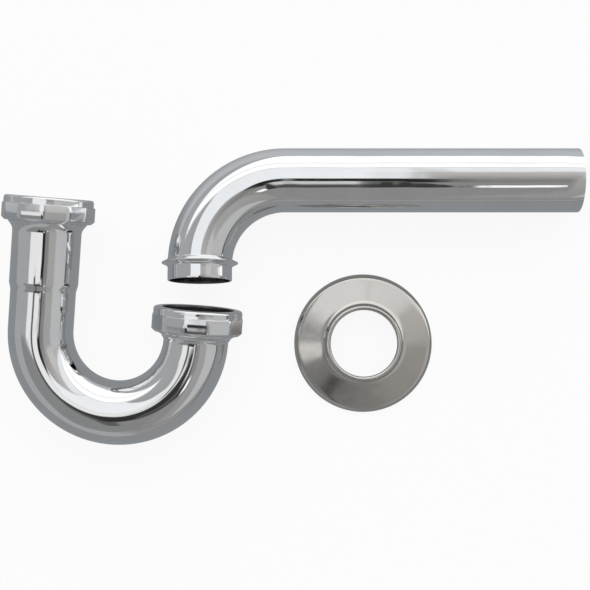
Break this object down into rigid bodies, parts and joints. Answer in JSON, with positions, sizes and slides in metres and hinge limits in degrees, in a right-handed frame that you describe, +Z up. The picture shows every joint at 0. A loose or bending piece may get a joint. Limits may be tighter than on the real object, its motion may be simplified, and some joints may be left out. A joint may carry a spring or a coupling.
{
  "type": "p trap",
  "caption": "Chrome tubular P trap laid out in parts: J-bend with slip nuts and washers, trap arm with a stop bead, and a wall flange.",
  "frame": {"origin": "on the bench top, below the middle of the layout seen from above", "axes": "+X along the trap arm towards the wall end, +Y up the legs of the J-bend towards their mouths, +Z up from the bench"},
  "size_m": [0.3417, 0.1759, 0.0548],
  "materials": {
    "chrome": "mirror-polished chrome plate on tubular brass",
    "nut_chrome": "chrome plate on a cast nut, slightly softer than the tube",
    "flange_chrome": "spun flange with a softer, warmer polish",
    "washer_rubber": "matt black rubber",
    "friction_ring": "black nylon"
  },
  "bodies": {
    "bend": {"j_bend": "chrome", "inlet_collar": "chrome", "outlet_collar": "chrome", "inlet_washer": "washer_rubber"},
    "inlet_ring": {"inlet_friction_ring": "friction_ring"},
    "inlet_nut": {"inlet_slip_nut": "nut_chrome"},
    "outlet_ring": {"outlet_friction_ring": "friction_ring"},
    "outlet_nut": {"outlet_slip_nut": "nut_chrome"},
    "outlet_seal": {"outlet_washer": "washer_rubber"},
    "arm": {"trap_arm": "chrome"},
    "flange": {"wall_flange": "flange_chrome"}
  },
  "joints": [
    {"name": "inlet_nut_travel", "type": "slide", "parent": "bend", "child": "inlet_ring", "axis": [0.0782, 0.993, 0.0885], "range_m": [0, 0.00663]},
    {"name": "inlet_nut_turn", "type": "hinge", "parent": "inlet_ring", "child": "inlet_nut", "pos_m": [-0.14416, 0.04331, 0.02687], "axis": [0.0782, 0.993, 0.0885], "range_deg": [0, 1080]},
    {"name": "outlet_nut_travel", "type": "slide", "parent": "bend", "child": "outlet_ring", "axis": [0.0782, 0.993, 0.0885], "range_m": [0, 0.00221]},
    {"name": "outlet_nut_turn", "type": "hinge", "parent": "outlet_ring", "child": "outlet_nut", "pos_m": [-0.05633, -0.02189, 0.0266], "axis": [0.0782, 0.993, 0.0885], "range_deg": [0, 360]},
    {"name": "arm_swivel", "type": "hinge", "parent": "bend", "child": "outlet_seal", "pos_m": [-0.05633, -0.02189, 0.0266], "axis": [-0.0782, -0.993, -0.0885], "range_deg": [0, 140]},
    {"name": "arm_seat", "type": "hinge", "parent": "outlet_seal", "child": "arm", "pos_m": [-0.11545, -0.02016, -0.08965], "axis": [0.8901, -0.1145, -0.4412], "range_deg": [0, 10.19]},
    {"name": "flange_lift", "type": "slide", "parent": "bend", "child": "flange", "axis": [0, 0, 1], "range_m": [0, 0.08]}
  ],
  "couplings": [
    {"joint": "inlet_nut_travel", "follows": "inlet_nut_turn", "m_per_rad": 0.00035152},
    {"joint": "outlet_nut_travel", "follows": "outlet_nut_turn", "m_per_rad": 0.00035152}
  ]
}
